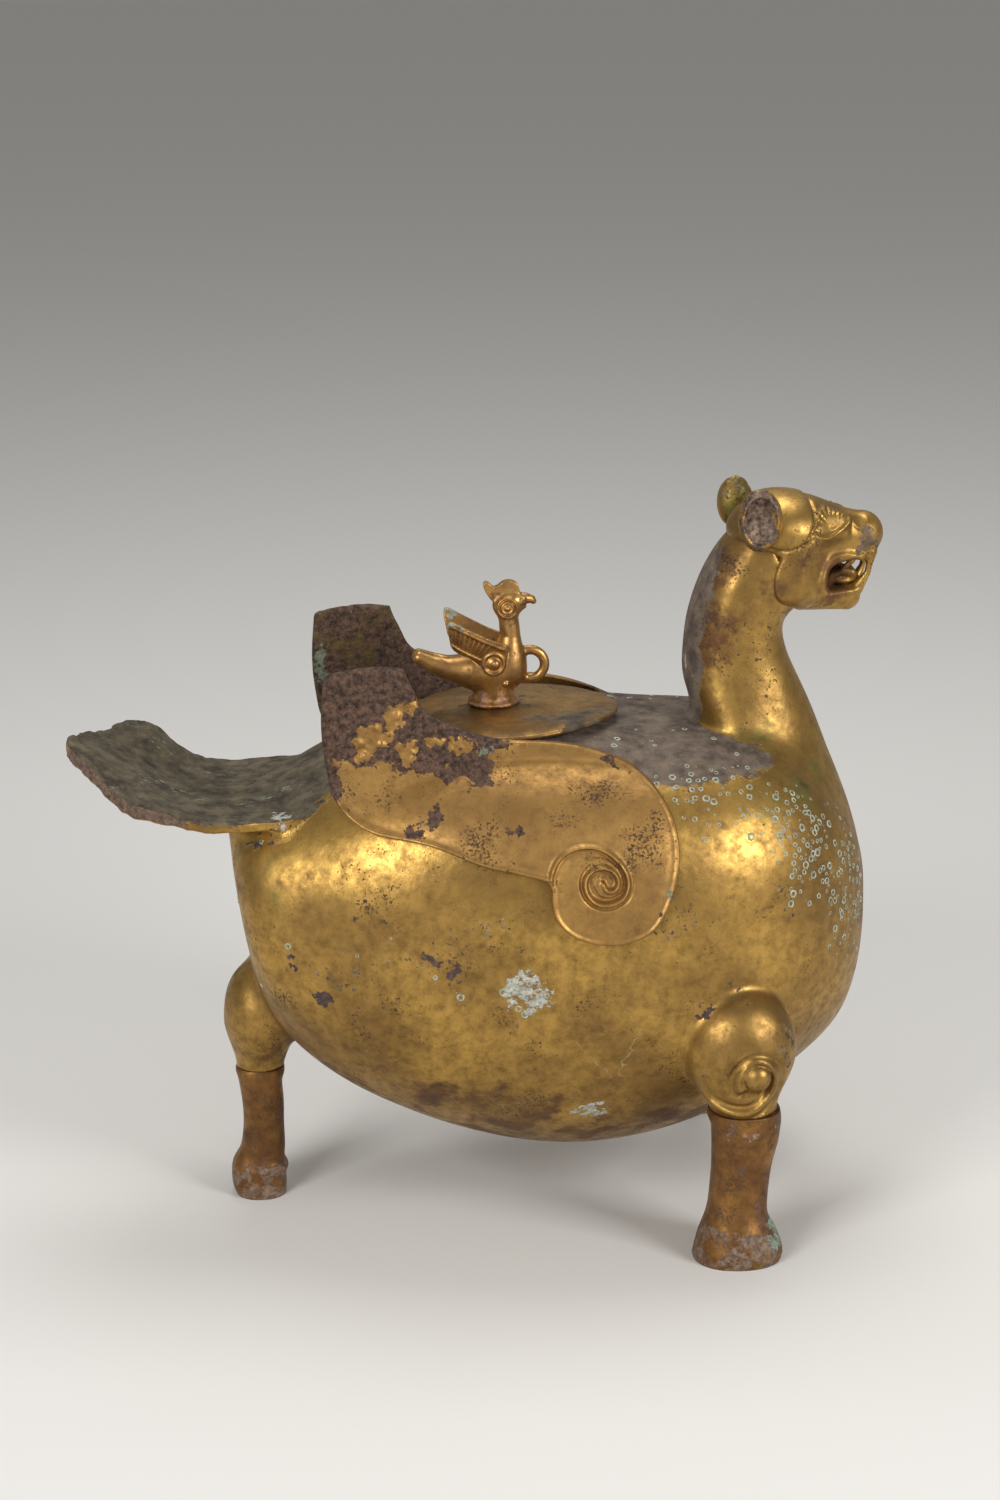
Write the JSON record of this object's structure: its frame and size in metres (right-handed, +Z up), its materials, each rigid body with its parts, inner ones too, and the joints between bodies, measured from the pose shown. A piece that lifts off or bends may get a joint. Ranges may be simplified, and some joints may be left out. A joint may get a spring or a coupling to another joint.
{
  "type": "zoomorphic drinking vessel",
  "caption": "Gilt-bronze wine vessel shaped as a winged beast on three legs, with a lift-off lid and a bird knob.",
  "frame": {"origin": "middle of the vessel's bounding box, on the floor that the hoofs stand on", "axes": "+Z up, +X towards the beast's head, +Y to the beast's left"},
  "size_m": [0.3856, 0.2308, 0.3549],
  "materials": {
    "gilt_bronze": "satin",
    "brown_bronze": "matte",
    "lid_bronze": "matte"
  },
  "bodies": {
    "vessel": {"belly": "gilt_bronze", "neck": "gilt_bronze", "head": "gilt_bronze", "tongue": "gilt_bronze", "right_ear": "gilt_bronze", "left_ear": "gilt_bronze", "right_wing": "gilt_bronze", "left_wing": "gilt_bronze", "tail": "lid_bronze", "front_right_haunch": "gilt_bronze", "front_left_haunch": "gilt_bronze", "rear_haunch": "gilt_bronze", "front_right_leg": "brown_bronze", "front_left_leg": "brown_bronze", "rear_leg": "brown_bronze"},
    "lid": {"lid": "lid_bronze", "bird_knob": "gilt_bronze", "bird_rivet": "brown_bronze"}
  },
  "joints": [
    {"name": "lid_lift", "type": "slide", "parent": "vessel", "child": "lid", "axis": [0, 0, 1], "range_m": [0, 0.09]}
  ]
}
